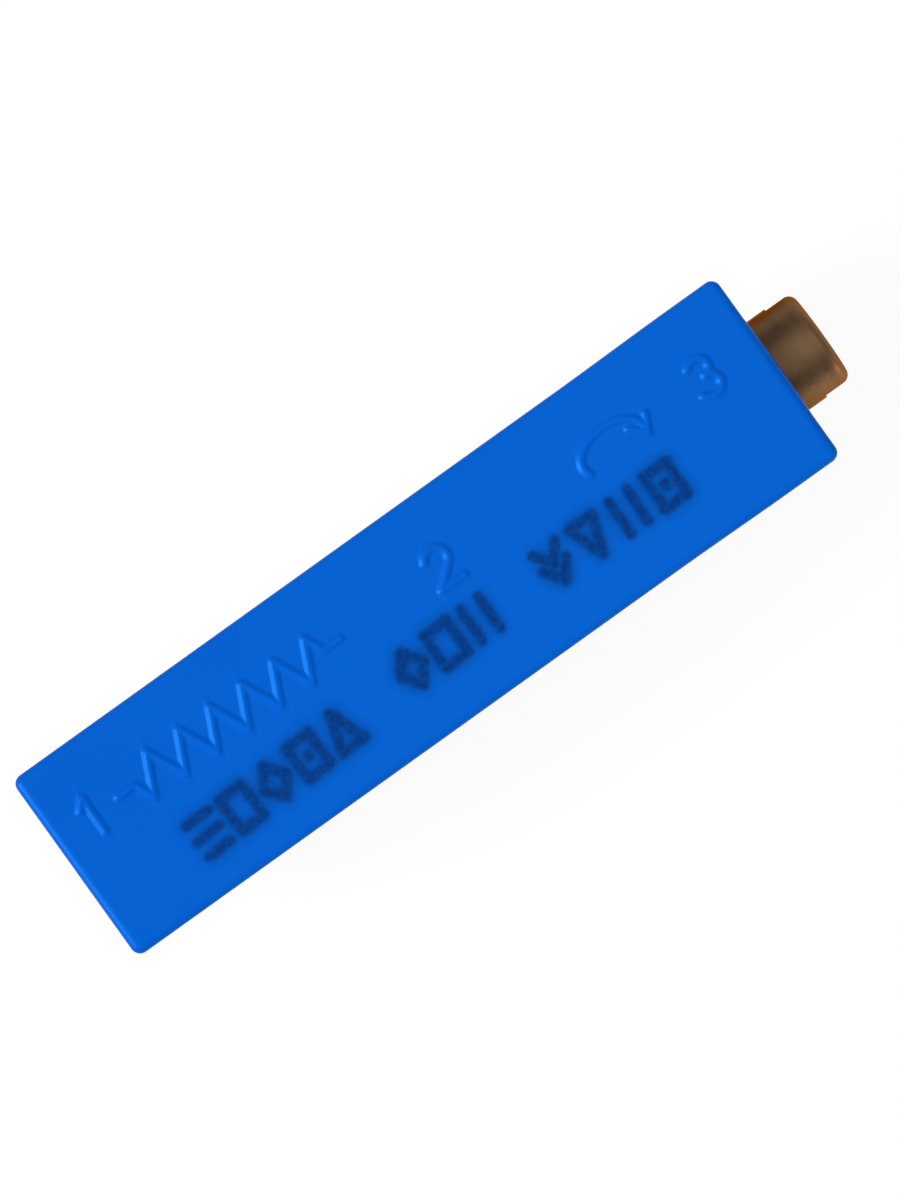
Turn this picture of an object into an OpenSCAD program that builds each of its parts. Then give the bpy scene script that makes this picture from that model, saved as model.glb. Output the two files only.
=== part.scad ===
// Sealed multi-turn trimmer potentiometer with a lead screw along its length.
// Origin: centre of the seat on the circuit board. +X runs towards the adjusting screw, +Z away from the board.
// Everything is in millimetres. The carriage is drawn in the middle of its travel.

/* [Housing] */
// Length of the housing, without the screw head
body_l = 19.05; // [18.6:0.05:22]
// Width of the housing
body_w = 4.83; // [4.75:0.01:6]
// Height of the housing above the board
body_h = 6.35; // [6.1:0.05:8]
// Thickness of the rim round the resin seal
rim_t = 0.55; // [0.45:0.01:0.6]
// Width of the shelf that the ceramic plate is pushed up against
shelf_w = 0.12; // [0.08:0.01:0.15]
// Thickness of the roof
roof_t = 0.75; // [0.5:0.05:1]
// Thickness of the end wall away from the screw
far_wall_t = 1.35; // [1.1:0.05:1.6]
// Length of the solid end that the screw passes through
boss_l = 3.35; // [3.2:0.05:3.45]
// Rounding of the upright corners
corner_r = 0.25; // [0.1:0.01:0.4]
// Rounding of the edges round the top face
edge_r = 0.2; // [0.1:0.01:0.4]
// Height of the corner feet that lift the rim off the board
foot_h = 0.25; // [0.1:0.05:0.35]
// Length of a foot along the side of the housing
foot_l = 1.4; // [1:0.05:1.8]
// Length of a foot across the end of the housing
foot_w = 1.15; // [0.8:0.05:1.5]
// Diameter of the low collar round the screw's bore
collar_d = 3.3; // [3:0.05:3.6]
// How far that collar stands out of the end
collar_h = 0.05; // [0.02:0.01:0.15]

/* [Resin seal and ceramic plate] */
// Depth of the resin's face inside the rim
seal_sunk = 0.1; // [0.05:0.05:0.3]
// Thickness of the resin seal
seal_t = 0.9; // [0.6:0.05:0.95]
// Thickness of the ceramic plate
plate_t = 0.64; // [0.5:0.01:0.7]
// Clearance round the ceramic plate
plate_gap = 0.05; // [0.02:0.01:0.08]
// Thickness of the printed films on the plate
film_t = 0.03; // [0.02:0.01:0.06]
// Space between the resistive film and the collector film
film_space = 0.3; // [0.2:0.02:0.4]
// Space between those films and the solder on the pins
film_clear = 0.19; // [0.15:0.01:0.25]
// How far the end films reach under the wiper at its end stops
end_reach = 0.1; // [0.05:0.05:0.4]

/* [Pins] */
// Diameter of a pin
pin_d = 0.51; // [0.4:0.01:0.6]
// Length of a pin below the board's surface
pin_l = 3.18; // [2.5:0.01:5]
// Chamfer of a pin's tip
pin_chamfer = 0.1; // [0.05:0.01:0.15]
// Diameter of the shoulder that a pin has inside the resin
shoulder_d = 0.86; // [0.82:0.01:0.95]
// Distance from the far end of the cavity to pin 1
pin_1_inset = 1.19; // [0.6:0.01:1.6]
// Distance from the screw end of the cavity to pin 3
pin_3_inset = 0.46; // [0.46:0.01:1]
// Pitch from pin 3 back to the wiper's pin 2
pitch_2_3 = 5.08; // [4:0.01:6.4]
// Distance of each row of pins from the inside of the rim
row_inset = 0.595; // [0.55:0.005:0.7]
// Diameter of the stud above a pin's shoulder
stud_d = 0.45; // [0.35:0.01:0.5]
// Clearance of the stud in its hole through the plate
stud_gap = 0.05; // [0.02:0.005:0.08]
// Diameter of the solder on a pin
solder_d = 0.76; // [0.66:0.01:0.84]
// Height of the solder on a pin
solder_h = 0.2; // [0.1:0.01:0.25]
// Thickness that the solder keeps at its foot
solder_foot_t = 0.03; // [0.02:0.01:0.05]
// Diameter of the silver land under the solder
land_d = 0.9; // [0.84:0.01:1]

/* [Adjusting screw] */
// Diameter of the screw's head and lands
head_d = 2.4; // [2.2:0.01:2.5]
// How far the head stands out of the housing
head_out = 1.275; // [0.8:0.025:2]
// How far the head's land reaches into the bore
head_in = 0.575; // [0.4:0.025:0.65]
// Rounding of the head's outer edge
head_round = 0.22; // [0.1:0.01:0.3]
// Width of the driver slot
slot_w = 0.64; // [0.4:0.01:0.8]
// Depth of the driver slot
slot_deep = 0.7; // [0.4:0.05:0.9]
// Radial clearance of the lands in the bore
bore_gap = 0.05; // [0.02:0.01:0.09]
// Thickness of the o-ring's section
ring_d = 0.5; // [0.4:0.01:0.54]
// Clearance of the o-ring in its groove and in the bore
ring_gap = 0.02; // [0.01:0.005:0.03]
// Length of the land between the o-ring and the keeper
mid_land_l = 0.55; // [0.4:0.05:0.65]
// Thickness of the keeper plate
keeper_t = 0.4; // [0.3:0.01:0.45]
// Width of the keeper plate
keeper_w = 3; // [2.8:0.05:3.2]
// Height of the keeper's legs above the screw's axis
keeper_rise = 0.9; // [0.6:0.05:1.1]
// Clearance round the keeper plate
keeper_gap = 0.03; // [0.02:0.01:0.05]
// Diameter of the neck that the keeper straddles
neck_d = 1.5; // [1.2:0.05:1.6]
// Length of the bore left free behind the innermost land
relief_l = 0.5; // [0.3:0.05:0.6]
// Outer diameter of the lead thread
thread_d = 1.6; // [1.4:0.05:1.65]
// Diameter of the journal at the screw's tip
tip_d = 1; // [0.8:0.05:1.2]
// Length of that journal inside the end wall
tip_l = 0.65; // [0.4:0.05:0.8]
// Clearance past the end of the journal
tip_gap = 0.08; // [0.05:0.01:0.15]

/* [Carriage and wiper] */
// Length of the carriage
carriage_l = 3; // [2.8:0.05:3.4]
// Running clearance of the carriage in the housing
run_gap = 0.05; // [0.04:0.01:0.08]
// Clearance of the carriage over the lead thread
thread_gap = 0.06; // [0.04:0.01:0.08]
// Length of each guide runner on the carriage
runner_l = 0.55; // [0.4:0.05:0.8]
// How far the guide runners stand out
runner_h = 0.1; // [0.05:0.01:0.15]
// Width of the slit that lets the carriage spring off the thread
slit_w = 0.3; // [0.2:0.05:0.5]
// Height of the carriage above the films
wiper_h = 0.53; // [0.48:0.01:0.6]
// Thickness of the wiper's spring sheet
sheet_t = 0.06; // [0.04:0.01:0.07]
// Distance of the wiper from each end of the carriage
wiper_inset_x = 0.25; // [0.15:0.01:0.35]
// Distance of the wiper from each side of the carriage
wiper_inset_y = 0.445; // [0.3:0.005:0.5]
// Inner radius of the fold that turns the fingers back
fold_r = 0.07; // [0.05:0.01:0.09]
// Number of fingers on each film
fingers = 3; // [2:1:4]
// Gap left between a finger's tip and its film
touch_gap = 0.02; // [0.01:0.005:0.03]
// Diameter of the moulded stakes that hold the wiper
stake_d = 0.32; // [0.25:0.01:0.36]
// Diameter of a stake's flattened head
stake_head_d = 0.5; // [0.45:0.01:0.52]
// Thickness of a stake's head
stake_head_t = 0.1; // [0.06:0.01:0.12]
// Distance of a stake from the end of the wiper
stake_inset_x = 0.65; // [0.5:0.01:0.8]
// Distance of a stake from the side of the wiper
stake_inset_y = 0.27; // [0.25:0.01:0.3]
// Clearance of a stake in the wiper's hole
stake_gap = 0.01; // [0.01:0.005:0.03]

/* [Hidden] */
$fn = 48;
// Overrun of a cutting shape past the face that it opens
cut = 0.5;

// Ends of the housing and of its cavity along X
screw_end = body_l / 2;
far_end = -body_l / 2;
cavity_x0 = far_end + far_wall_t;
cavity_x1 = screw_end - boss_l;
cavity_mid = (cavity_x0 + cavity_x1) / 2;
travel = cavity_x1 - cavity_x0 - carriage_l - 2 * run_gap;

// Half widths, from the outside in
rim_y = body_w / 2 - rim_t;
cavity_y = rim_y - shelf_w;
run_y = cavity_y - run_gap;
row_y = rim_y - row_inset;

// Levels, from the board up
seal_z = foot_h + seal_sunk;
plate_z = seal_z + seal_t;
film_z = plate_z + plate_t;
touch_z = film_z + film_t;
carriage_z = touch_z + wiper_h;
roof_z = body_h - roof_t;
run_z = roof_z - run_gap;
screw_z = (carriage_z + run_z) / 2;

// Places of the pins
pin_1_x = cavity_x0 + pin_1_inset;
pin_3_x = cavity_x1 - pin_3_inset;
pin_2_x = pin_3_x - pitch_2_3;
pin_1_at = [pin_1_x, -row_y];
pin_2_at = [pin_2_x, row_y];
pin_3_at = [pin_3_x, -row_y];
pins_at = [pin_1_at, pin_2_at, pin_3_at];

// Stations of the screw along X, from the outside in
bore_r = head_d / 2 + bore_gap;
groove_x = screw_end - head_in;
groove_l = ring_d + 2 * ring_gap;
groove_r = bore_r - 2 * ring_gap - ring_d;
mid_land_x = groove_x - groove_l;
neck_x = mid_land_x - mid_land_l;
neck_l = keeper_t + 2 * keeper_gap;
inner_land_x = neck_x - neck_l;
thread_x = cavity_x1 + relief_l;
journal_x = cavity_x0 + run_gap;

// The two films side by side on the plate, and the wiper's fingers spread evenly over each
film_w = row_y - solder_d / 2 - film_clear - film_space / 2;
film_y = (film_space + film_w) / 2;
finger_w = film_w / (2 * fingers + 1);
resistive_x0 = cavity_mid - travel / 2 + end_reach;
resistive_x1 = cavity_mid + travel / 2 - end_reach;

// The wiper's base and its stakes
wiper_l = carriage_l - 2 * wiper_inset_x;
wiper_w = 2 * (run_y - wiper_inset_y);
stake_x = wiper_l / 2 - stake_inset_x;
stake_y = wiper_w / 2 - stake_inset_y;

module rounded_plan(l, w, r) {
    square([l - 2 * r, w], center = true);
    square([l, w - 2 * r], center = true);
    for (x = [-1, 1], y = [-1, 1])
        translate([x * (l / 2 - r), y * (w / 2 - r)])
            circle(r = r);
}

// An upright outline that is square at the board and rounded at the top
module arched_outline(w, h, r) {
    translate([-w / 2, 0])
        square([w, h - r]);
    translate([r - w / 2, 0])
        square([w - 2 * r, h]);
    for (side = [-1, 1])
        translate([side * (w / 2 - r), h - r])
            circle(r = r);
}

// A block over the given range of x, the full width 2 * half_y, from z0 to z1
module slab(x0, x1, half_y, z0, z1) {
    translate([x0, -half_y, z0])
        cube([x1 - x0, 2 * half_y, z1 - z0]);
}

// A round bar along X on the screw's axis
module bar(x0, x1, r) {
    translate([x0, 0, screw_z])
        rotate([0, 90, 0])
            cylinder(r = r, h = x1 - x0);
}

module shell_block() {
    intersection() {
        linear_extrude(body_h)
            rounded_plan(body_l, body_w, corner_r);
        rotate([90, 0, 90])
            linear_extrude(body_l + 2 * cut, center = true)
                arched_outline(body_w, body_h, edge_r);
        rotate([90, 0, 0])
            linear_extrude(body_w + 2 * cut, center = true)
                arched_outline(body_l, body_h, edge_r);
    }
}

// The pool for the resin, also the resin's own outline
module seal_plan() {
    rounded_plan(body_l - 2 * rim_t, body_w - 2 * rim_t, corner_r);
}

module foot_notches() {
    slab(far_end + foot_l, screw_end - foot_l, body_w / 2 + cut, -cut, foot_h);
    slab(far_end - cut, screw_end + cut, body_w / 2 - foot_w, -cut, foot_h);
}

module keeper_slot() {
    slab(inner_land_x, inner_land_x + neck_l, keeper_w / 2 + keeper_gap,
        plate_z - cut, screw_z + keeper_rise + keeper_gap);
}

module housing() {
    color([0.02, 0.38, 0.82])
        difference() {
            union() {
                shell_block();
                bar(screw_end - cut, screw_end + collar_h, collar_d / 2);
            }
            foot_notches();
            translate([0, 0, -cut])
                linear_extrude(plate_z + cut)
                    seal_plan();
            slab(cavity_x0 - shelf_w, cavity_x1 + shelf_w, rim_y, plate_z - cut, film_z);
            slab(cavity_x0, cavity_x1, cavity_y, plate_z - cut, roof_z);
            bar(cavity_x1 - cut, screw_end + collar_h + cut, bore_r);
            bar(cavity_x0 - tip_l - tip_gap, cavity_x0 + cut, tip_d / 2 + bore_gap);
            keeper_slot();
        }
}

module potting_seal() {
    color([0.83, 0.72, 0.5])
        difference() {
            translate([0, 0, seal_z])
                linear_extrude(seal_t)
                    seal_plan();
            for (at = pins_at)
                translate([at[0], at[1], seal_z - cut])
                    cylinder(d = shoulder_d, h = seal_t + 2 * cut);
        }
}

// A lathe profile of [start, end, radius] steps, turned about the screw's axis
module turned_bar(steps) {
    translate([0, 0, screw_z])
        rotate([0, 90, 0])
            rotate_extrude()
                for (step = steps)
                    translate([0, step[0]])
                        square([step[2], step[1] - step[0]]);
}

module screw_head() {
    head_x1 = screw_end + head_out;
    translate([0, 0, screw_z])
        rotate([0, 90, 0])
            rotate_extrude() {
                translate([0, groove_x])
                    square([head_d / 2, head_x1 - head_round - groove_x]);
                translate([0, groove_x])
                    square([head_d / 2 - head_round, head_x1 - groove_x]);
                translate([head_d / 2 - head_round, head_x1 - head_round])
                    circle(r = head_round);
            }
}

module adjusting_screw() {
    color([0.45, 0.33, 0.22])
        difference() {
            union() {
                screw_head();
                turned_bar([
                    [mid_land_x, groove_x, groove_r],
                    [neck_x, mid_land_x, head_d / 2],
                    [inner_land_x, neck_x, neck_d / 2],
                    [thread_x, inner_land_x, head_d / 2],
                    [journal_x, thread_x, thread_d / 2],
                    [cavity_x0 - tip_l, journal_x, tip_d / 2]
                ]);
            }
            translate([screw_end + head_out - slot_deep, -head_d, screw_z - slot_w / 2])
                cube([slot_deep + cut, 2 * head_d, slot_w]);
        }
}

module shaft_o_ring() {
    color([0.1, 0.1, 0.1])
        translate([groove_x - groove_l / 2, 0, screw_z])
            rotate([0, 90, 0])
                rotate_extrude()
                    translate([groove_r + ring_gap + ring_d / 2, 0])
                        circle(d = ring_d);
}

module shaft_keeper() {
    color([0.72, 0.7, 0.64])
        translate([inner_land_x + keeper_gap, 0, 0])
            rotate([90, 0, 90])
                linear_extrude(keeper_t)
                    difference() {
                        translate([-keeper_w / 2, plate_z])
                            square([keeper_w, screw_z + keeper_rise - plate_z]);
                        translate([0, screw_z])
                            circle(d = neck_d + 2 * keeper_gap);
                        translate([-neck_d / 2 - keeper_gap, screw_z])
                            square([neck_d + 2 * keeper_gap, keeper_rise + cut]);
                    }
}

module stakes(d, z0, z1) {
    for (x = [-1, 1], y = [-1, 1])
        translate([cavity_mid + x * stake_x, y * stake_y, z0])
            cylinder(d = d, h = z1 - z0);
}

module carriage() {
    x0 = cavity_mid - carriage_l / 2;
    x1 = cavity_mid + carriage_l / 2;
    sheet_z = carriage_z - sheet_t;
    color([0.93, 0.92, 0.88])
        difference() {
            union() {
                slab(x0, x1, run_y - runner_h, carriage_z, run_z - runner_h);
                slab(x0, x0 + runner_l, run_y, carriage_z, run_z);
                slab(x1 - runner_l, x1, run_y, carriage_z, run_z);
                stakes(stake_d, sheet_z, carriage_z);
                stakes(stake_head_d, sheet_z - stake_head_t, sheet_z);
            }
            bar(x0 - cut, x1 + cut, thread_d / 2 + thread_gap);
            slab(x0 - cut, x1 + cut, slit_w / 2, screw_z, body_h);
        }
}

// One finger, folded back under the wiper's base and sloping down to a rounded toe.
// The fold runs half a sheet into the base and into the finger.
module finger_side() {
    fold_out = fold_r + sheet_t;
    fold_z = -sheet_t - fold_r;
    toe_z = touch_gap + sheet_t - wiper_h;
    difference() {
        translate([0, fold_z])
            circle(r = fold_out);
        translate([0, fold_z])
            circle(r = fold_r);
        translate([-fold_out - sheet_t / 2, fold_z - fold_out])
            square([fold_out, 2 * fold_out]);
    }
    polygon([
        [0, fold_z - fold_r],
        [0, fold_z - fold_out],
        [-wiper_l / 2, toe_z - sheet_t],
        [-wiper_l / 2, toe_z]
    ]);
    translate([-wiper_l / 2, toe_z])
        circle(r = sheet_t);
}

module wiper_contact() {
    fold_x = cavity_mid + wiper_l / 2 - fold_r - sheet_t;
    color([0.85, 0.72, 0.42]) {
        difference() {
            slab(cavity_mid - wiper_l / 2, fold_x, wiper_w / 2, carriage_z - sheet_t, carriage_z);
            stakes(stake_d + 2 * stake_gap, carriage_z - sheet_t - cut, carriage_z + cut);
        }
        for (side = [-1, 1], i = [0:fingers - 1])
            translate([
                fold_x,
                side * film_y + (2 * i - fingers + 1.5) * finger_w,
                carriage_z
            ])
                rotate([90, 0, 0])
                    linear_extrude(finger_w)
                        finger_side();
    }
}

module ceramic_substrate() {
    color([0.94, 0.93, 0.89])
        difference() {
            slab(cavity_x0 - shelf_w + plate_gap, cavity_x1 + shelf_w - plate_gap,
                rim_y - plate_gap, plate_z, film_z);
            for (at = pins_at)
                translate([at[0], at[1], plate_z - cut])
                    cylinder(d = stud_d + 2 * stud_gap, h = plate_t + 2 * cut);
        }
}

module film() {
    translate([0, 0, film_z])
        linear_extrude(film_t)
            children();
}

module pin_hole(at) {
    translate(at)
        circle(d = stud_d + 2 * stud_gap);
}

module resistive_track() {
    color([0.15, 0.14, 0.13])
        film()
            translate([resistive_x0, -film_y - film_w / 2])
                square([resistive_x1 - resistive_x0, film_w]);
}

module collector_track() {
    color([0.78, 0.78, 0.76])
        film()
            difference() {
                union() {
                    translate([resistive_x0 - land_d, film_y - film_w / 2])
                        square([resistive_x1 - resistive_x0 + 2 * land_d, film_w]);
                    translate([pin_2_at[0] - land_d / 2, film_y])
                        square([land_d, row_y - film_y]);
                    translate(pin_2_at)
                        circle(d = land_d);
                }
                pin_hole(pin_2_at);
            }
}

// Silver film from a pin's land to one end of the resistive film, between x0 and x1
module end_film(at, x0, x1) {
    color([0.78, 0.78, 0.76])
        film()
            difference() {
                union() {
                    translate([x0, -film_y - film_w / 2])
                        square([x1 - x0, film_w]);
                    translate([at[0] - land_d / 2, at[1]])
                        square([land_d, -film_y - at[1]]);
                    translate(at)
                        circle(d = land_d);
                }
                pin_hole(at);
            }
}

module end_pad_1() {
    end_film(pin_1_at, pin_1_x - land_d / 2, resistive_x0);
}

module end_pad_3() {
    end_film(pin_3_at, resistive_x1, pin_3_x + land_d / 2);
}

// A straight round pin with a shoulder that bears on the underside of the ceramic plate
module pin(at) {
    color([0.8, 0.8, 0.78])
        translate([at[0], at[1], 0])
            rotate_extrude() {
                polygon([
                    [0, -pin_l],
                    [pin_d / 2 - pin_chamfer, -pin_l],
                    [pin_d / 2, pin_chamfer - pin_l],
                    [pin_d / 2, seal_z],
                    [shoulder_d / 2, seal_z],
                    [shoulder_d / 2, plate_z],
                    [stud_d / 2, plate_z],
                    [stud_d / 2, touch_z + solder_h],
                    [0, touch_z + solder_h]
                ]);
            }
}

module pin_1() {
    pin(pin_1_at);
}

module pin_2() {
    pin(pin_2_at);
}

module pin_3() {
    pin(pin_3_at);
}

// A hollow-sided collar of solder between the land and the pin
module solder(at) {
    foot = (solder_d - stud_d) / 2;
    hollow_r = min(foot, solder_h) - solder_foot_t;
    color([0.72, 0.73, 0.74])
        translate([at[0], at[1], touch_z])
            rotate_extrude()
                translate([stud_d / 2, 0])
                    difference() {
                        square([foot, solder_h]);
                        translate([foot, solder_h])
                            circle(r = hollow_r);
                    }
}

module solder_1() {
    solder(pin_1_at);
}

module solder_2() {
    solder(pin_2_at);
}

module solder_3() {
    solder(pin_3_at);
}

housing();
potting_seal();
adjusting_screw();
shaft_o_ring();
shaft_keeper();
carriage();
wiper_contact();
ceramic_substrate();
resistive_track();
collector_track();
end_pad_1();
end_pad_3();
pin_1();
pin_2();
pin_3();
solder_1();
solder_2();
solder_3();
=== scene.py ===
import math

import bmesh
import bpy
import numpy as np
from mathutils import Matrix, Vector


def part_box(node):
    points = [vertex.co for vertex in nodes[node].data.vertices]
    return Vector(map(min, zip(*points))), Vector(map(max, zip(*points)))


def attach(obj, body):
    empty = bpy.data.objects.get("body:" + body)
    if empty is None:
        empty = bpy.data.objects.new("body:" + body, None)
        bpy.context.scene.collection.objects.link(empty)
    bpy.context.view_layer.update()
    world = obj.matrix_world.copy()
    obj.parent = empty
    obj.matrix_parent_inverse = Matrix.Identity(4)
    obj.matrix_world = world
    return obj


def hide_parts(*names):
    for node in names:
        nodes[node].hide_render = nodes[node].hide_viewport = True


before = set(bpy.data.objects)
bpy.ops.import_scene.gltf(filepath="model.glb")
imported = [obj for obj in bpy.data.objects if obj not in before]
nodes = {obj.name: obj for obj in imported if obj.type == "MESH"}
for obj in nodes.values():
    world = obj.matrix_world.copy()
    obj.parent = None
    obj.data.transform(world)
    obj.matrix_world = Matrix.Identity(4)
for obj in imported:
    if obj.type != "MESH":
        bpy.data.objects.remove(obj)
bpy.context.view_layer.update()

# The camera looks straight down on the top face from well above it, as in the photograph,
# with the screw's end towards the upper right. The photograph is 900 by 1200 pixels.
MM = 0.001
top_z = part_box("housing")[1].z / MM
photo_height_px = 1200
px_per_mm = 45.43
camera_rise = 220
camera_turn = math.radians(-35.6)
camera_over = (0.658, 0.012)

camera_data = bpy.data.cameras.new("camera")
camera_data.sensor_width = 36
camera_data.lens = camera_data.sensor_width * camera_rise * px_per_mm / photo_height_px
camera_data.clip_start = 0.005
camera_data.clip_end = 20
camera = bpy.data.objects.new("camera", camera_data)
camera.location = Vector((*camera_over, top_z + camera_rise)) * MM
camera.rotation_euler = (0, 0, camera_turn)
bpy.context.scene.collection.objects.link(camera)
bpy.context.scene.camera = camera
bpy.context.scene.view_settings.view_transform = "Standard"


# The trimmer stands on the tips of its pins on a white table, in a white studio tent whose roof
# and foot are brighter than its walls. The key lamp stands well to one side, where it picks out
# the raised marks and doesn't shine back off the flat top. A weak warm lamp lights the screw.
class Wire:
    """One output in a material's nodes. Sums and products of wires add Math nodes."""

    def __init__(self, tree, socket=None):
        self.tree = tree
        self.socket = socket

    def node(self, kind, settings=(), inputs=(), output=0):
        """Adds a node, makes its settings, fills its sockets and returns one of its outputs."""
        made = self.tree.nodes.new("ShaderNode" + kind)
        for name, value in dict(settings).items():
            setattr(made, name, value)
        for name, value in dict(inputs).items():
            if isinstance(value, Wire):
                self.tree.links.new(value.socket, made.inputs[name])
            else:
                made.inputs[name].default_value = value
        return Wire(self.tree, made.outputs[output])

    def math(self, operation, other=0.0):
        return self.node("Math", {"operation": operation}, {0: self, 1: other})

    def __add__(self, other):
        return self.math("ADD", other)

    def __mul__(self, other):
        return self.math("MULTIPLY", other)

    def __sub__(self, other):
        return self.math("SUBTRACT", other)

    def __rsub__(self, other):
        return self.node("Math", {"operation": "SUBTRACT"}, {0: other, 1: self})

    __radd__ = __add__
    __rmul__ = __mul__

    def blend(self, low, high):
        """The colour low where the wire is 0, the colour high where it is 1."""
        return self.node("Mix", {"data_type": "RGBA"}, {0: self, 6: low, 7: high}, output=2)

    def between(self, low, high, from_low=0.0, from_high=1.0):
        """The wire's values from from_low to from_high, spread from low to high and held there."""
        return self.node("MapRange", {}, {0: self, 1: from_low, 2: from_high, 3: low, 4: high})

    def part(self, axis):
        """The x, y or z of a vector."""
        return self.node("SeparateXYZ", {}, {0: self}, output="XYZ".index(axis))


def mesh_piece(name, mesh, material, body=None, replaces=()):
    """A new object of that mesh, with its finish. A piece of the trimmer rides on its body."""
    piece = bpy.data.objects.new(name, mesh)
    bpy.context.scene.collection.objects.link(piece)
    piece.data.materials.clear()
    piece.data.materials.append(material)
    if body:
        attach(piece, body)
    if replaces:
        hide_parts(*replaces)
    return piece


def grey(value):
    return (value, value, value, 1)


table_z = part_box("pin_1")[0].z
table_reach = 4
table_white = 0.6
table_glow = 1.11
table_glow_share = 0.82
table_finish = bpy.data.materials.new("table_white")
table_finish.use_nodes = True
tree = table_finish.node_tree
tree.nodes.clear()
start = Wire(tree)
matt = start.node("BsdfDiffuse", {}, {"Color": grey(table_white)})
shown = start.node("Emission", {}, {"Color": grey(1), "Strength": table_glow})
seen = start.node("LightPath", output="Is Camera Ray")
for ray in ("Is Glossy Ray", "Is Transmission Ray"):
    seen = seen.math("MAXIMUM", start.node("LightPath", output=ray))
both = start.node("MixShader", {}, {0: seen * table_glow_share, 1: matt, 2: shown})
table_out = tree.nodes.new("ShaderNodeOutputMaterial")
tree.links.new(both.socket, table_out.inputs["Surface"])

table_mesh = bpy.data.meshes.new("table")
table_mesh.from_pydata(
    [(x * table_reach, y * table_reach, table_z) for x, y in ((-1, -1), (1, -1), (1, 1), (-1, 1))],
    [], [(0, 1, 2, 3)])
table = mesh_piece("table", table_mesh, table_finish)

tent_foot = 0.7
tent_wall = 0.35
tent_roof = 1.03
tent = bpy.data.worlds.new("tent")
tent.use_nodes = True
tent.node_tree.nodes.clear()
start = Wire(tent.node_tree)
upward = start.node("TexCoord", output="Generated").part("Z")
glow = upward.between(tent_foot, tent_wall, 0.0, 0.2)
glow = glow + upward.between(0.0, tent_roof - tent_wall, 0.7, 0.93)
background = start.node("Background", {}, {"Color": grey(1), "Strength": glow})
tent_out = tent.node_tree.nodes.new("ShaderNodeOutputWorld")
tent.node_tree.links.new(background.socket, tent_out.inputs["Surface"])
bpy.context.scene.world = tent


def soft_lamp(name, place_mm, aim_mm, size_mm, watts, colour=(1, 1, 1)):
    data = bpy.data.lights.new(name, "AREA")
    data.shape = "SQUARE"
    data.size = size_mm * MM
    data.energy = watts
    data.color = colour
    lamp = bpy.data.objects.new(name, data)
    lamp.location = Vector(place_mm) * MM
    lamp.rotation_euler = (Vector(aim_mm) - Vector(place_mm)).to_track_quat("-Z", "Y").to_euler()
    bpy.context.scene.collection.objects.link(lamp)


soft_lamp("key_lamp", (-170, 50, 180), (0, 0, 3), 100, 0.5)
soft_lamp("side_lamp", (90, -215, 12), (0, 0, 3), 30, 0.07, (1, 0.78, 0.55))


# The housing is one moulding of blue thermoset plastic, open underneath, on four corner feet.
# Raised marks stand on its top: the three pin numbers, a resistor's zigzag and a turning arrow.
# Dark blue marks are printed beside them in soft, slightly uneven dots.
def in_mm(corners):
    """A box's lowest and highest corner, given in metres, as arrays in millimetres."""
    return [np.array(corner) / MM for corner in corners]


seal_low, seal_high = in_mm(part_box("potting_seal"))
wall_thickness = 0.55
half_l = seal_high[0] + wall_thickness
half_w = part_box("housing")[1].y / MM
corner_round = 0.23
edge_depth = 0.12
round_steps = 6
mark_step = 0.035
mark_rise = 0.05
mark_half_width = 0.125
mark_row_y = 0.74
mark_height = 0.92
sink_side = 0.025
foot_sink_share = 0.4
full_sink_z = 2.5
sink_top = 0.012
hollow_end = (5.2, 8.2)
flat_top_z = top_z - mark_rise


def arc(centre, reach, start_deg, end_deg, steps=24):
    """Points along an ellipse's arc, reach being its half width and half height."""
    angles = np.radians(np.linspace(start_deg, end_deg, steps))
    return [(centre[0] + reach[0] * math.cos(a), centre[1] + reach[1] * math.sin(a)) for a in angles]


def path_distance(points, path):
    """How far each point is from a line of straight runs."""
    shortest = np.full(len(points), np.inf)
    for here, there in zip(path, path[1:]):
        run = np.subtract(there, here)
        along = np.clip((points - here) @ run / (run @ run), 0, 1)
        shortest = np.minimum(shortest, np.linalg.norm(points - here - along[:, None] * run, axis=1))
    return shortest


def soft_step(low, high, value):
    share = np.clip((value - low) / (high - low), 0, 1)
    return share * share * (3 - 2 * share)


def placed(path, x, y, tilt=0.0):
    """The path moved to x, y and turned by the tilt in radians."""
    return [(x + px * math.cos(tilt) - py * math.sin(tilt),
             y + px * math.sin(tilt) + py * math.cos(tilt)) for px, py in path]


tall = mark_height / 2
numeral_1 = [(-0.17, tall - 0.22), (0.03, tall), (0.03, -tall)]
numeral_2 = arc((0, tall - 0.28), (0.28, 0.28), 165, -35, 14) + [(-0.3, -tall), (0.32, -tall)]
numeral_3 = arc((0, tall - 0.23), (0.25, 0.23), 150, -80, 12)
numeral_3 += arc((0, 0.25 - tall), (0.29, 0.25), 80, -150, 14)
zigzag = [(-3.0, 0), (-2.55, 0)]
zigzag += [(x, tall * (1 if i % 2 else -1)) for i, x in enumerate(np.linspace(-2.35, 2.35, 12))]
zigzag += [(2.55, 0), (3.0, 0)]
turning_arrow = arc((0, -0.1), (0.82, 0.52), 200, -15, 30)
arrow_head = [(0.5, 0.06), (0.8, -0.27), (1.0, 0.13)]
raised_paths = [
    placed(numeral_1, -8.5, mark_row_y),
    placed(zigzag, -4.8, mark_row_y),
    placed(numeral_2, 0.93, mark_row_y),
    placed(turning_arrow, 5.55, mark_row_y),
    placed(arrow_head, 5.55, mark_row_y),
    placed(numeral_3, 8.06, mark_row_y),
]

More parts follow.
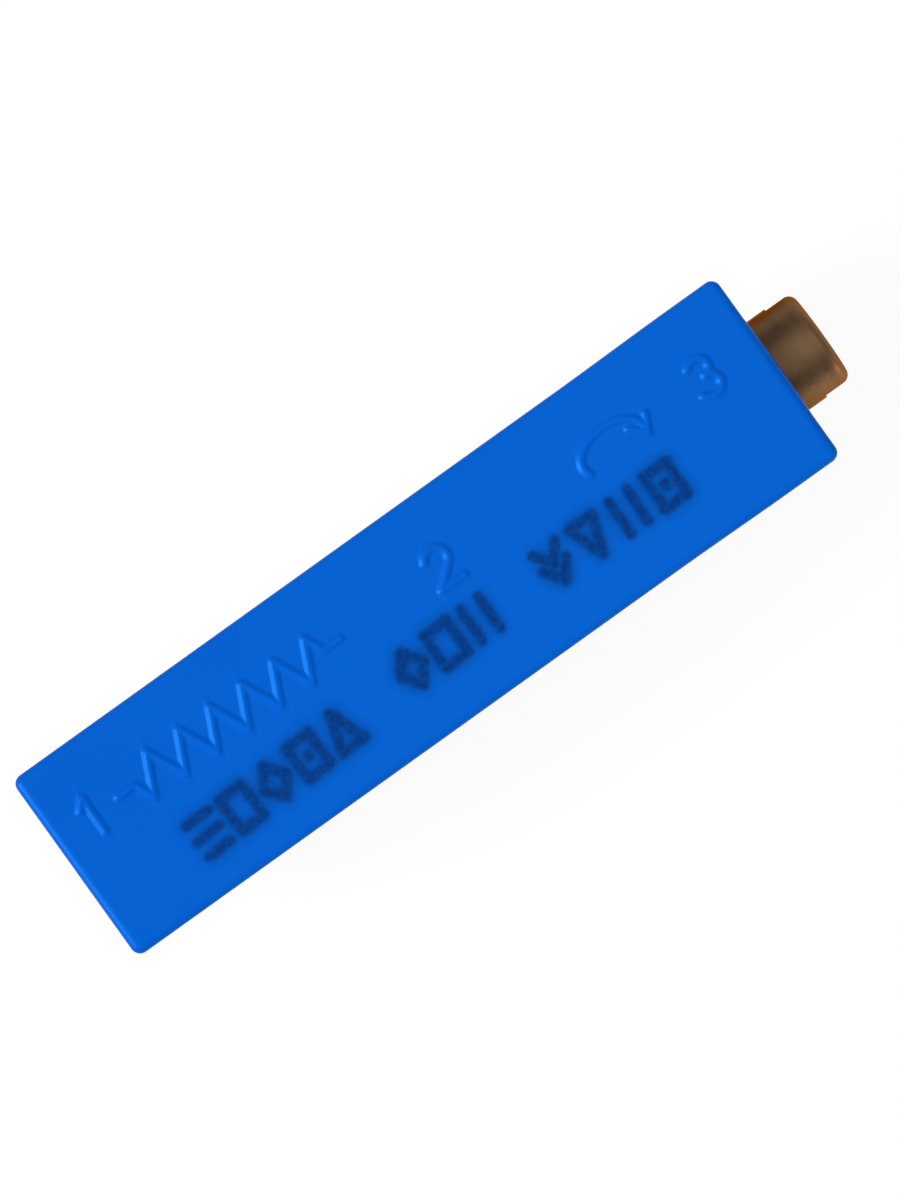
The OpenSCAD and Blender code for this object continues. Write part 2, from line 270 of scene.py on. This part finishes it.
# Each printed mark is a few lines of dots, which reach this far sideways and up from its middle
side = 0.3
up = 0.43
box_line = [(-side, -up), (-side, up), (side, up), (side, -up), (-side, -up)]
print_shapes = {
    "bars": [[(-side, up), (side, up)], [(-side, 0), (side, 0)], [(-side, -up), (side, -up)]],
    "frame": [box_line],
    "dotted_frame": [box_line, [(0, -0.03), (0, 0.03)]],
    "diamond": [[(-side, 0), (0, up), (side, 0), (0, -up), (-side, 0)]],
    "peak": [[(-side, -up), (0, up), (side, -up), (-side, -up)]],
    "posts": [[(-0.24, up), (-0.24, -up)], [(0.24, up), (0.24, -up)]],
    "chevrons": [[(-side, up), (0, 0.05), (side, up)], [(-side, 0.0), (0, -up), (side, 0.0)]],
    "funnel": [[(-side, up), (side, up), (0, -up), (-side, up)]],
}
# Each group has its middle, the pitch of its marks, its tilt and the marks themselves
print_groups = [
    ((-4.8, -1.01), 0.93, math.radians(2.3), ("bars", "frame", "diamond", "dotted_frame", "peak")),
    ((0.03, -0.73), 0.93, math.radians(0.6), ("diamond", "frame", "posts")),
    ((4.49, -0.70), 1.0, math.radians(0.0), ("chevrons", "funnel", "posts", "dotted_frame")),
]
dot_pitch = 0.11
dot_radius = 0.2
dot_soft = 0.15
dot_jitter = 0.009
faintest_dot = 0.9
haze_reach = 0.45
haze = 0.13
scatter = np.random.default_rng(7)
print_dots = []
for (group_x, group_y), pitch, tilt, names in print_groups:
    for i, name in enumerate(names):
        offset = (i - (len(names) - 1) / 2) * pitch
        x, y = group_x + offset * math.cos(tilt), group_y + offset * math.sin(tilt)
        for path in print_shapes[name]:
            path = placed(path, x, y, tilt)
            for here, there in zip(path, path[1:]):
                count = max(1, round(math.dist(here, there) / dot_pitch))
                for share in np.arange(count + 1) / count:
                    jitter = scatter.normal(0, dot_jitter, 2)
                    weight = scatter.uniform(faintest_dot, 1)
                    dot = np.add(here, share * np.subtract(there, here)) + jitter
                    print_dots.append((*dot, weight))


def rise_of(points):
    """How far the raised marks stand up at each point of the top."""
    rise = np.zeros(len(points))
    near = np.abs(points[:, 1] - mark_row_y) < mark_height
    for path in raised_paths:
        crown = np.clip(1 - (path_distance(points[near], path) / mark_half_width) ** 2, 0, 1)
        rise[near] = np.maximum(rise[near], crown ** 1.3)
    return rise


def print_of(points):
    """How much ink lies at each point of the top."""
    ink, bare = np.zeros(len(points)), np.ones(len(points))
    for x, y, weight in print_dots:
        near = np.abs(points - (x, y)).max(axis=1) < haze_reach
        distance = np.hypot(*(points[near] - (x, y)).T)
        dot = weight * (1 - soft_step(dot_radius - dot_soft, dot_radius, distance))
        ink[near] = np.maximum(ink[near], dot)
        bare[near] *= 1 - haze * (1 - soft_step(0, haze_reach, distance))
    return 1 - (1 - ink) * bare


# How far out the lines lie that give even angles once the grid's edge is rounded
edge_turns = np.tan(np.radians(45) * np.arange(round_steps + 1) / round_steps)


def edge_lines(half, *bands):
    """Lines across a face: even angles round its edges, and between them bands of (end, step)."""
    outer = half - corner_round + corner_round * edge_turns
    flat = [-(half - corner_round)]
    for end, step in bands:
        count = max(1, round((end - flat[-1]) / step))
        flat += list(np.linspace(flat[-1], end, count + 1)[1:])
    return np.concatenate([-outer[::-1], flat[1:-1], outer])


# The lines lie close only where the marks are: the printed row, then the raised row
flat_x = half_l - corner_round
flat_y = half_w - corner_round
x_lines = edge_lines(half_l, (flat_x, mark_step))
y_lines = edge_lines(
    half_w, (-1.72, 0.12), (-0.1, mark_step), (0.2, 0.1), (1.3, mark_step), (flat_y, 0.15))
wall_lines = np.linspace(0, 5.4, 8)
z_lines = np.concatenate([wall_lines, flat_top_z - corner_round * (1 - edge_turns)])
joined_within = 1e-7
sliver_width = 5e-7


def grid_faces(rows, columns, first=0):
    """The faces of a grid of corners, numbered row by row from the first."""
    starts = [first + i * columns + j for i in range(rows - 1) for j in range(columns - 1)]
    return [(a, a + 1, a + columns + 1, a + columns) for a in starts]


def closed_mesh(name, corners, faces, ink=None):
    """A solid from corners in millimetres: grids joined, an open rim closed, faces outwards."""
    mesh = bpy.data.meshes.new(name)
    mesh.from_pydata(np.array(corners) * MM, [], faces)
    if ink is not None:
        mesh.attributes.new("ink", "FLOAT", "POINT").data.foreach_set("value", ink.astype(np.float32))
    made = bmesh.new()
    made.from_mesh(mesh)
    bmesh.ops.remove_doubles(made, verts=made.verts, dist=joined_within)
    rim = [e for e in made.edges if e.is_boundary]
    if rim:
        bmesh.ops.contextual_create(made, geom=rim)
    bmesh.ops.recalc_face_normals(made, faces=made.faces)
    made.to_mesh(mesh)
    made.free()
    return mesh


def block_mesh(name):
    """A block with rounded upright and upper edges, from one grid for each of its faces."""
    points, faces = np.empty((0, 3)), []
    for first_lines, second_lines, x, y, z in (
            (x_lines, y_lines, "first", "second", flat_top_z),
            (x_lines, z_lines, "first", -half_w, "second"),
            (x_lines[::-1], z_lines, "first", half_w, "second"),
            (y_lines, z_lines, half_l, "first", "second"),
            (y_lines[::-1], z_lines, -half_l, "first", "second")):
        first, second = np.meshgrid(first_lines, second_lines)
        given = {"first": first, "second": second}
        face = np.stack([given[axis] if axis in given else np.full(first.shape, axis)
                         for axis in (x, y, z)], axis=-1)
        faces += grid_faces(*first.shape, first=len(points))
        points = np.concatenate([points, face.reshape(-1, 3)])

    core = points.copy()
    core[:, 0] = np.clip(points[:, 0], -flat_x, flat_x)
    core[:, 1] = np.clip(points[:, 1], -flat_y, flat_y)
    core[:, 2] = np.minimum(points[:, 2], flat_top_z - corner_round)
    out = points - core
    points = core + out * (corner_round / np.maximum(np.linalg.norm(out, axis=1), 1e-9))[:, None]
    upper = points[:, 2] > flat_top_z - corner_round - 1e-6
    points[upper, 2] = flat_top_z - (flat_top_z - points[upper, 2]) * edge_depth / corner_round

    on_top = points[:, 2] > flat_top_z - 1e-6
    hollow_part = 1 - soft_step(*hollow_end, points[:, 0])
    dip = hollow_part * (1 - (points[:, 1] / half_w) ** 2) * (1 - (points[:, 0] / half_l) ** 8)
    points[on_top, 2] += mark_rise * rise_of(points[on_top, :2]) - sink_top * dip[on_top]
    ink = np.zeros(len(points))
    ink[on_top] = print_of(points[on_top, :2])
    up_the_side = soft_step(0.0, full_sink_z, points[:, 2])
    drawn_in = sink_side / half_w * hollow_part * (foot_sink_share + (1 - foot_sink_share) * up_the_side)
    points[:, 1] *= 1 - drawn_in
    return closed_mesh(name, points, faces, ink)


def turned_mesh(name, stations, sides, centre_z=0.0, upright=False, ring=False):
    """A solid turned about X, or about Z if upright, from stations of (place, radius).

    A radius may be a function of the angle. The last station of a ring is joined to the first.
    """
    corners = []
    for place, radius in stations:
        for angle in np.linspace(0, 2 * math.pi, sides, endpoint=False):
            reach = radius(angle) if callable(radius) else radius
            across, rise = reach * math.cos(angle), reach * math.sin(angle)
            corners.append((across, rise, place) if upright else (place, across, rise + centre_z))
    count = len(corners)
    runs = len(stations) if ring else len(stations) - 1
    faces = []
    for i in range(runs):
        for j in range(sides):
            a, b = i * sides + j, i * sides + (j + 1) % sides
            faces.append((a, b, (b + sides) % count, (a + sides) % count))
    if not ring:
        faces += [tuple(range(sides))[::-1], tuple(range(count - sides, count))]
    return closed_mesh(name, corners, faces)


def box_mesh(name, low, high, corner=0.0):
    """A block between two corners in millimetres, its upright edges rounded by the corner radius."""
    low, high = np.array(low), np.array(high)
    if corner:
        outline = []
        inner_low = low[:2] + corner
        inner_high = high[:2] - corner
        for x, y, first in ((inner_high[0], inner_high[1], 0), (inner_low[0], inner_high[1], 90),
                            (inner_low[0], inner_low[1], 180), (inner_high[0], inner_low[1], 270)):
            outline += arc((x, y), (corner, corner), first, first + 90, 9)
    else:
        outline = [(low[0], low[1]), (high[0], low[1]), (high[0], high[1]), (low[0], high[1])]
    count = len(outline)
    corners = [(x, y, z) for z in (low[2], high[2]) for x, y in outline]
    faces = [(i, (i + 1) % count, count + (i + 1) % count, count + i) for i in range(count)]
    faces += [tuple(range(count))[::-1], tuple(range(count, 2 * count))]
    return closed_mesh(name, corners, faces)


def cut_mesh(mesh, name, joined=(), removed=()):
    """The mesh with the joined meshes added to it and the removed ones cut out of it."""
    work = bpy.data.objects.new(name, mesh)
    bpy.context.scene.collection.objects.link(work)
    tools, groups = [], []
    for operation, others in (("UNION", joined), ("DIFFERENCE", removed)):
        if not others:
            continue
        group = bpy.data.collections.new(name + "_" + operation.lower())
        bpy.context.scene.collection.children.link(group)
        groups.append(group)
        for other in others:
            tool = bpy.data.objects.new(other.name, other)
            group.objects.link(tool)
            tools.append(tool)
        step = work.modifiers.new(operation, "BOOLEAN")
        step.operation = operation
        step.solver = "EXACT"
        step.operand_type = "COLLECTION"
        step.collection = group
    cut = work.evaluated_get(bpy.context.evaluated_depsgraph_get())
    result = bpy.data.meshes.new_from_object(cut)
    for helper in (work, *tools):
        bpy.data.objects.remove(helper)
    for group in groups:
        bpy.data.collections.remove(group)
    made = bmesh.new()
    made.from_mesh(result)
    bmesh.ops.dissolve_degenerate(made, edges=made.edges, dist=sliver_width)
    made.to_mesh(result)
    made.free()
    return result


def smooth(mesh, sharp_deg):
    """Smooth shading, except over edges sharper than the angle."""
    mesh.shade_smooth()
    mesh.set_sharp_from_angle(angle=math.radians(sharp_deg))
    return mesh


def start_finish(name):
    """A new material with no nodes, and a wire with the place on the part in millimetres."""
    material = bpy.data.materials.new(name)
    material.use_nodes = True
    material.node_tree.nodes.clear()
    place = Wire(material.node_tree).node("TexCoord", output="Object")
    place = place.node("VectorMath", {"operation": "SCALE"}, {0: place, "Scale": 1 / MM})
    return material, place


def grain(place, per_mm, detail=2.0, stretch=(1, 1, 1)):
    """Cloudy noise from 0 to 1, with per_mm patches to the millimetre."""
    if stretch != (1, 1, 1):
        place = place.node("VectorMath", {"operation": "MULTIPLY"}, {0: place, 1: stretch})
    return place.node("TexNoise", {}, {"Vector": place, "Scale": per_mm, "Detail": detail})


def end_finish(material, look, height=None, height_mm=0.01):
    """Ends the material in a shader with that look, its surface raised by the height wire."""
    tree = material.node_tree
    if height is not None:
        look["Normal"] = height.node("Bump", {}, {"Strength": 1.0, "Distance": height_mm * MM,
                                                  "Height": height})
    shader = Wire(tree).node("BsdfPrincipled", {}, look)
    out = tree.nodes.new("ShaderNodeOutputMaterial")
    tree.links.new(shader.socket, out.inputs["Surface"])
    return material


def blue_moulding():
    """Satin blue plastic, a little cloudy, with painted light making it lighter towards the screw end, a
    fine spark-eroded skin and the printed marks.
    """
    material, place = start_finish("blue_moulding")
    cloud = grain(place, 0.35, 3.0)
    # Painted light: the blue is lighter towards the screw end.
    painted_light_towards_screw = place.part("X").between(0.0, 1.0, -9.5, 9.5)
    shade = cloud * 0.5 + painted_light_towards_screw * 0.5
    blue = shade.blend((0.0, 0.087, 0.515, 1), (0.001, 0.109, 0.59, 1))
    ink = place.node("Attribute", {"attribute_name": "ink"}, output="Fac")
    uneven = grain(place, 9.0, 2.0).between(0.82, 1.0, 0.35, 0.6)
    inked = ink * uneven
    colour = inked.blend(blue, (0.001, 0.02, 0.15, 1))
    skin = grain(place, 22.0, 3.0)
    sheen = grain(place, 1.6, 2.0).between(0.3, 0.37) + inked * 0.12
    height = skin * 0.5 + grain(place, 2.5, 2.0) * 0.5
    return end_finish(material, {
        "Base Color": colour,
        "Roughness": sheen,
        "Specular IOR Level": 0.5,
        "Specular Tint": (0.04, 0.4, 1.0, 1),
    }, height, 0.0035)


plate_low, plate_high = in_mm(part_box("ceramic_substrate"))
keeper_low, keeper_high = in_mm(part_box("shaft_keeper"))
screw_low, screw_high = in_mm(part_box("adjusting_screw"))
axis_z = (screw_low[2] + screw_high[2]) / 2
foot_height = 0.25
foot_along = 1.4
foot_across = 1.15
overrun = 0.5
plate_gap = 0.05
plate_shelf = 0.12
keeper_gap = 0.03
cavity_x = (plate_low[0] - plate_gap + plate_shelf, plate_high[0] + plate_gap - plate_shelf)
cavity_half = plate_high[1] + plate_gap - plate_shelf
cavity_top = 5.6
bore_radius = 1.25
collar_radius = 1.65
collar_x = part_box("housing")[1].x / MM
journal_radius = 0.55
journal_gap = 0.08

collar = turned_mesh("collar", [
    (half_l - 0.6, collar_radius - 0.2), (half_l - 0.5, collar_radius),
    (collar_x - 0.025, collar_radius), (collar_x - 0.008, collar_radius - 0.01),
    (collar_x, collar_radius - 0.03)], 128, axis_z)
housing_cuts = [
    box_mesh("between_feet", (foot_along - half_l, -half_w - overrun, -overrun),
             (half_l - foot_along, half_w + overrun, foot_height)),
    box_mesh("across_feet", (-half_l - overrun, foot_across - half_w, -overrun),
             (half_l + overrun, half_w - foot_across, foot_height)),
    box_mesh("resin_pool", (*seal_low[:2], -overrun), seal_high, 0.25),
    box_mesh("plate_seat", (*(plate_low[:2] - plate_gap), seal_high[2] - overrun),
             (*(plate_high[:2] + plate_gap), plate_high[2])),
    box_mesh("cavity", (cavity_x[0], -cavity_half, seal_high[2] - overrun),
             (cavity_x[1], cavity_half, cavity_top)),
    box_mesh("keeper_slot", (*(keeper_low[:2] - keeper_gap), seal_high[2] - overrun),
             keeper_high + keeper_gap),
    turned_mesh("bore", [(cavity_x[1] - overrun, bore_radius), (half_l - 0.12, bore_radius),
                         (collar_x + overrun, bore_radius)], 128, axis_z),
    turned_mesh("journal_hole", [(screw_low[0] - journal_gap, journal_radius),
                                 (cavity_x[0] + overrun, journal_radius)], 64, axis_z),
]
housing_mesh = cut_mesh(block_mesh("housing_block"), "housing_cut", [collar], housing_cuts)
mesh_piece("moulded_housing", smooth(housing_mesh, 48), blue_moulding(), "case",
           ["housing"])


# The adjusting screw is turned from one brass bar: a slotted head, a groove for the o-ring, two
# lands with a neck between them for the keeper, a right-hand lead thread and a plain tip.
# It is dull from storage. Painted shade darkens it along one side, a painted highlight lightens the
# other side, and it is lighter towards the head's end.
def brass():
    material, place = start_finish("turned_brass")
    lathe_marks = grain(place, 14.0, 3.0, (3.0, 0.12, 0.12))
    tarnish = grain(place, 1.3, 4.0)
    base = tarnish.between(0.0, 1.0, 0.3, 0.7).blend((0.135, 0.076, 0.038, 1), (0.2, 0.12, 0.065, 1))
    # Painted shade: the brass is darker along its +Y side.
    painted_shade_side = place.part("Y").between(0.0, 0.7, 0.75, 1.1)
    base = painted_shade_side.blend(base, (0.07, 0.036, 0.017, 1))
    # The brass is lighter towards the head's end, and a painted highlight lightens its -Y side.
    lighter_head_end = place.part("X").between(0.0, 0.45, screw_high[0] - 0.32, screw_high[0] - 0.05)
    painted_highlight_side = place.part("Y").between(0.5, 0.0, -1.15, -0.85)
    lighter_end_and_painted_highlight = lighter_head_end + painted_highlight_side
    colour = lighter_end_and_painted_highlight.blend(base, (0.4, 0.2, 0.1, 1))
    return end_finish(material, {
        "Base Color": colour,
        "Metallic": 1.0,
        "Specular Tint": (0.8, 0.42, 0.25, 1),
        "Roughness": lathe_marks.between(0.26, 0.38) + tarnish * 0.06 + lighter_end_and_painted_highlight * 0.4,
    }, lathe_marks, 0.004)


head_radius = screw_high[1]
neck_radius = 0.75
groove_radius = 0.71
thread_radius = 0.8
thread_root = 0.6
thread_pitch = 0.75
tip_radius = 0.5
head_round = 0.22
slot_width = 0.64
slot_depth = 0.7
ring_low, ring_high = in_mm(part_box("shaft_o_ring"))
ring_gap = 0.02
groove_x = ring_high[0] + ring_gap
mid_land_x = ring_low[0] - ring_gap
neck_x = keeper_high[0] + keeper_gap
inner_land_x = keeper_low[0] - keeper_gap
thread_end = cavity_x[1] + 0.5
thread_start = cavity_x[0] + 0.05
thread_fade = 0.3
thread_stations = 14
chamfer = 0.06
tip_chamfer = 0.1
step_width = 0.001


def land(start_x, end_x):
    """Stations of a plain turned length with small chamfers."""
    return [(start_x, head_radius - chamfer), (start_x + chamfer, head_radius),
            (end_x - chamfer, head_radius), (end_x, head_radius - chamfer)]


def thread_at(x):
    """The radius round the thread at that x. Its ridge winds to the right and fades at the ends."""
    fade = max(0.0, min(1.0, (x - thread_start) / thread_fade, (thread_end - x) / thread_fade))

    def radius(angle):
        phase = (x / thread_pitch - angle / (2 * math.pi)) % 1
        ridge = min(1.0, max(0.0, 1.5 - abs(phase - 0.5) * 5))
        return thread_root + (thread_radius - thread_root) * ridge * fade

    return radius


head_end = screw_high[0]
screw_stations = [(screw_low[0], tip_radius - tip_chamfer), (screw_low[0] + tip_chamfer, tip_radius),
                  (thread_start, tip_radius)]
thread_x = np.arange(thread_start + 0.01, thread_end, thread_pitch / thread_stations)
screw_stations += [(x, thread_at(x)) for x in thread_x]
screw_stations += land(thread_end, inner_land_x)
screw_stations += [(inner_land_x + step_width, neck_radius), (neck_x - step_width, neck_radius)]
screw_stations += land(neck_x, mid_land_x)
screw_stations += [(mid_land_x + step_width, groove_radius), (groove_x - step_width, groove_radius)]
screw_stations += [(groove_x, head_radius - chamfer), (groove_x + chamfer, head_radius)]
screw_stations += [(x, head_radius) for x in np.linspace(groove_x + 0.2, head_end - head_round - 0.1, 8)]
screw_stations += arc((head_end - head_round, head_radius - head_round),
                      (head_round, head_round), 90, 0, 9)
screw_stations += [(head_end, (head_radius - head_round) * share) for share in (0.7, 0.4, 0.05)]

driver_slot = box_mesh("driver_slot", (head_end - slot_depth, -2, axis_z - slot_width / 2),
                       (head_end + 1, 2, axis_z + slot_width / 2))
turned_bar = turned_mesh("screw_turned", screw_stations, 96, axis_z)
slotted_screw = cut_mesh(turned_bar, "screw_cut", removed=[driver_slot])
mesh_piece("brass_screw", smooth(slotted_screw, 40), brass(), "screw",
           ["adjusting_screw"])


# The o-ring is black nitrile rubber, moulded with a faint flash line. It sits in the screw's
# groove, seals the bore, and holds the screw where it is set.
def black_rubber():
    material, place = start_finish("black_rubber")
    bloom = grain(place, 3.0, 3.0)
    return end_finish(material, {
        "Base Color": bloom.blend((0.006, 0.006, 0.006, 1), (0.02, 0.02, 0.021, 1)),
        "Roughness": bloom.between(0.55, 0.75),
    }, grain(place, 30.0, 2.0), 0.004)


ring_middle = (ring_low[0] + ring_high[0]) / 2
flash_rise = 0.006
section_radius = (ring_high[0] - ring_low[0]) / 2 - flash_rise
ring_radius = ring_high[1] - section_radius - flash_rise
ring_stations = []
for angle in np.linspace(0, 2 * math.pi, 32, endpoint=False):
    flash = flash_rise * max(0.0, 1 - abs(math.sin(angle)) * 12)
    ring_stations.append((ring_middle + section_radius * math.sin(angle),
                          ring_radius + (section_radius + flash) * math.cos(angle)))
ring = turned_mesh("rubber_ring", ring_stations, 96, axis_z, ring=True)
mesh_piece("rubber_ring", smooth(ring, 60), black_rubber(), "screw", ["shaft_o_ring"])


# The resin seal is a tan epoxy poured into the open underside and cured in place. It creeps up
# the rim and the pins in a small fillet, and its face is slightly wavy.
def tan_resin():
    material, place = start_finish("tan_resin")
    cloud = grain(place, 0.8, 4.0)
    specks = grain(place, 11.0, 1.0).between(0.0, 1.0, 0.62, 0.72)
    colour = cloud.blend((0.47, 0.34, 0.145, 1), (0.66, 0.51, 0.26, 1))
    colour = (specks * 0.45).blend(colour, (0.82, 0.74, 0.55, 1))
    return end_finish(material, {
        "Base Color": colour,
        "Roughness": cloud.between(0.3, 0.5),
    }, cloud * 0.7 + grain(place, 6.0, 2.0) * 0.3, 0.01)


pin_names = ("pin_1", "pin_2", "pin_3")
pins_at = []
for name in pin_names:
    low, high = in_mm(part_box(name))
    pins_at.append((low[:2] + high[:2]) / 2)
pin_radius = 0.255
creep = 0.11
creep_reach = 0.127
wave_height = 0.012
mean_lift = 0.03
lowest_z = foot_height + 0.06


def resin_mesh():
    """The pool of resin, its under face drawn down where it wets the rim and the pins."""
    x, y = np.meshgrid(np.pad(np.linspace(seal_low[0], seal_high[0], 225), 1, mode="edge"),
                       np.pad(np.linspace(seal_low[1], seal_high[1], 48), 1, mode="edge"))
    to_rim = np.minimum(seal_high[0] - np.abs(x), seal_high[1] - np.abs(y))
    fillet = np.exp(-to_rim / creep_reach)
    for at in pins_at:
        to_pin = np.maximum(np.hypot(x - at[0], y - at[1]) - pin_radius, 0)
        fillet = np.maximum(fillet, np.exp(-to_pin / creep_reach))
    waves = wave_height * np.sin(1.3 * x + 0.8 * y) * np.cos(0.7 * x - 1.9 * y)
    z = np.maximum(seal_low[2] + mean_lift - creep * fillet + waves, lowest_z)
    z[[0, -1]] = seal_high[2]
    z[:, [0, -1]] = seal_high[2]
    return closed_mesh("resin", np.stack([x, y, z], -1).reshape(-1, 3), grid_faces(*x.shape))


mesh_piece("resin_seal", smooth(resin_mesh(), 60), tan_resin(), "case", ["potting_seal"])


# Each pin is round copper-alloy wire, cut to length and dipped in tin. The dip leaves it bright
# and slightly uneven, with a rounded tip, and the resin holds its shoulder.
def tinned():
    material, place = start_finish("tinned_wire")
    frost = grain(place, 5.0, 4.0, (1, 1, 0.35))
    spots = grain(place, 1.4, 3.0)
    colour = spots.blend((0.22, 0.22, 0.213, 1), (0.4, 0.396, 0.38, 1))
    return end_finish(material, {
        "Base Color": colour,
        "Metallic": 1.0,
        "Roughness": frost.between(0.2, 0.42),
    }, frost, 0.012)


shoulder_radius = 0.43
stud_radius = 0.225
edge = 0.03
tin_wobble = 0.004
tip_profile = [(0, 0.09), (0.015, 0.15), (0.05, 0.205), (0.1, 0.238), (0.17, pin_radius - 0.001)]
tinned_finish = tinned()
for i, name in enumerate(pin_names):
    low, high = in_mm(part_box(name))
    wobble = np.random.default_rng(20 + i)
    stations = [(low[2] + rise, radius) for rise, radius in tip_profile]
    for z in np.linspace(low[2] + 0.3, seal_low[2] - 0.05, 22):
        stations.append((z, pin_radius - tin_wobble * wobble.random()))
    stations += [
        (seal_low[2], pin_radius), (seal_low[2] + step_width, shoulder_radius - edge),
        (seal_low[2] + edge, shoulder_radius), (seal_high[2] - edge, shoulder_radius),
        (seal_high[2], shoulder_radius - edge), (seal_high[2] + step_width, stud_radius),
        (high[2] - edge, stud_radius), (high[2], stud_radius - edge)]
    mesh = turned_mesh(name + "_wire", stations, 48, upright=True)
    mesh.transform(Matrix.Translation((*(pins_at[i] * MM), 0)))
    mesh_piece(name + "_wire", smooth(mesh, 50), tinned_finish, "case", [name])


# The keeper is stamped stainless sheet, pushed up into its slot so that its two legs straddle
# the screw's neck. Its edges are slightly rolled by the die.
def finish_node(node, material, width_mm):
    """Rounds the edges of a node that is shown as it is, and gives it its finish."""
    solid = nodes[node]
    join = solid.modifiers.new("joined_faces", "WELD")
    join.merge_threshold = joined_within
    rounding = solid.modifiers.new("rounded_edges", "BEVEL")
    rounding.width = width_mm * MM
    rounding.segments = 3
    rounding.limit_method = "ANGLE"
    rounding.angle_limit = math.radians(35)
    rounding.harden_normals = True
    solid.data.materials.clear()
    solid.data.materials.append(material)


def stamped_steel():
    material, place = start_finish("stamped_steel")
    rolled = grain(place, 6.0, 3.0, (1, 0.15, 2.5))
    return end_finish(material, {
        "Base Color": rolled.blend((0.42, 0.41, 0.39, 1), (0.56, 0.55, 0.53, 1)),
        "Metallic": 1.0,
        "Roughness": rolled.between(0.28, 0.45),
    }, rolled, 0.006)


finish_node("shaft_keeper", stamped_steel(), 0.03)


# The carriage is moulded in natural nylon, which is milky and slightly waxy. It runs on the
# thread, and its split top lets it spring over the ridge.
def nylon():
    material, place = start_finish("milky_nylon")
    cloud = grain(place, 1.8, 3.0)
    return end_finish(material, {
        "Base Color": cloud.blend((0.74, 0.71, 0.6, 1), (0.86, 0.84, 0.76, 1)),
        "Roughness": cloud.between(0.38, 0.52),
        "Subsurface Weight": 0.15,
        "Subsurface Scale": 0.3 * MM,
    }, grain(place, 12.0, 2.0), 0.005)


finish_node("carriage", nylon(), 0.04)


# The wiper is folded from thin gold-coloured spring alloy, with three fingers on each film.
# The carriage's four stakes, melted flat, hold it.
def spring_alloy():
    material, place = start_finish("spring_alloy")
    rolled = grain(place, 9.0, 3.0, (0.15, 1.5, 1))
    return end_finish(material, {
        "Base Color": rolled.blend((0.62, 0.43, 0.15, 1), (0.76, 0.56, 0.24, 1)),
        "Metallic": 1.0,
        "Roughness": rolled.between(0.18, 0.34),
    }, rolled, 0.003)


finish_node("wiper_contact", spring_alloy(), 0.008)


# The plate is fired alumina ceramic, white and finely gritty, with a faint warm cast. It is
# pushed up against a shelf inside the housing, and the resin below holds it there.
def fired_ceramic():
    material, place = start_finish("fired_ceramic")
    grit = grain(place, 24.0, 3.0)
    cloud = grain(place, 0.7, 2.0)
    return end_finish(material, {
        "Base Color": cloud.blend((0.8, 0.77, 0.69, 1), (0.88, 0.86, 0.8, 1)),
        "Roughness": grit.between(0.55, 0.75),
    }, grit, 0.006)


finish_node("ceramic_substrate", fired_ceramic(), 0.02)


# The resistive film is a dark printed and fired glaze of glass and metal oxide. Its face shows
# the weave of the printing screen, and three paler tracks worn by the wiper's fingers.
glaze_low, glaze_high = in_mm(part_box("resistive_track"))
glaze_middle_y = (glaze_low[1] + glaze_high[1]) / 2
finger_pitch = 2 / 7 * (glaze_high[1] - glaze_low[1])


def resistive_glaze():
    material, place = start_finish("resistive_glaze")
    weave = place.node("TexWave", {"bands_direction": "DIAGONAL"},
                       {"Vector": place, "Scale": 6.0, "Distortion": 1.5}, output="Fac")
    speck = grain(place, 18.0, 3.0)
    turns = (place.part("Y") - glaze_middle_y) * (2 * math.pi / finger_pitch)
    worn = turns.math("COSINE").between(0.0, 1.0, 0.5, 0.95)
    glaze = speck.blend((0.01, 0.009, 0.008, 1), (0.035, 0.03, 0.026, 1))
    return end_finish(material, {
        "Base Color": (worn * 0.6).blend(glaze, (0.075, 0.07, 0.064, 1)),
        "Roughness": speck.between(0.3, 0.5) - worn * 0.12,
    }, weave * 0.4 + speck * 0.6, 0.004)


finish_node("resistive_track", resistive_glaze(), 0.006)


# The collector and the two end films are printed silver, fired onto the ceramic: pale, satin
# and slightly grainy, and faintly yellowed.
def fired_silver():
    material, place = start_finish("fired_silver")
    speck = grain(place, 16.0, 3.0)
    yellowing = grain(place, 0.9, 2.0)
    return end_finish(material, {
        "Base Color": yellowing.blend((0.6, 0.58, 0.52, 1), (0.74, 0.73, 0.69, 1)),
        "Metallic": 0.9,
        "Roughness": speck.between(0.34, 0.55),
    }, speck, 0.005)


silver = fired_silver()
for node in ("collector_track", "end_pad_1", "end_pad_3"):
    finish_node(node, silver, 0.006)


# Bright solder joins each pin's stud to the silver land round it. It wetted both as it ran, and
# set in a small cone with hollow sides.
def bright_solder():
    material, place = start_finish("bright_solder")
    flow = grain(place, 4.0, 3.0)
    return end_finish(material, {
        "Base Color": flow.blend((0.5, 0.51, 0.53, 1), (0.66, 0.67, 0.69, 1)),
        "Metallic": 1.0,
        "Roughness": flow.between(0.16, 0.36),
    }, flow, 0.01)


solder = bright_solder()
foot_thickness = 0.03
rim_width = 0.03
for at, node in zip(pins_at, ("solder_1", "solder_2", "solder_3")):
    low, high = in_mm(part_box(node))
    outer = high[0] - at[0]
    reach = outer - stud_radius - rim_width
    rise = high[2] - low[2] - foot_thickness
    stations = [(low[2], outer)] + [
        (high[2] - rise * math.cos(a), outer - reach * math.sin(a))
        for a in np.radians(np.linspace(0, 90, 9))]
    mesh = turned_mesh(node + "_cone", stations, 48, upright=True)
    mesh.transform(Matrix.Translation((*(at * MM), 0)))
    mesh_piece(node + "_cone", smooth(mesh, 50), solder, "case", [node])
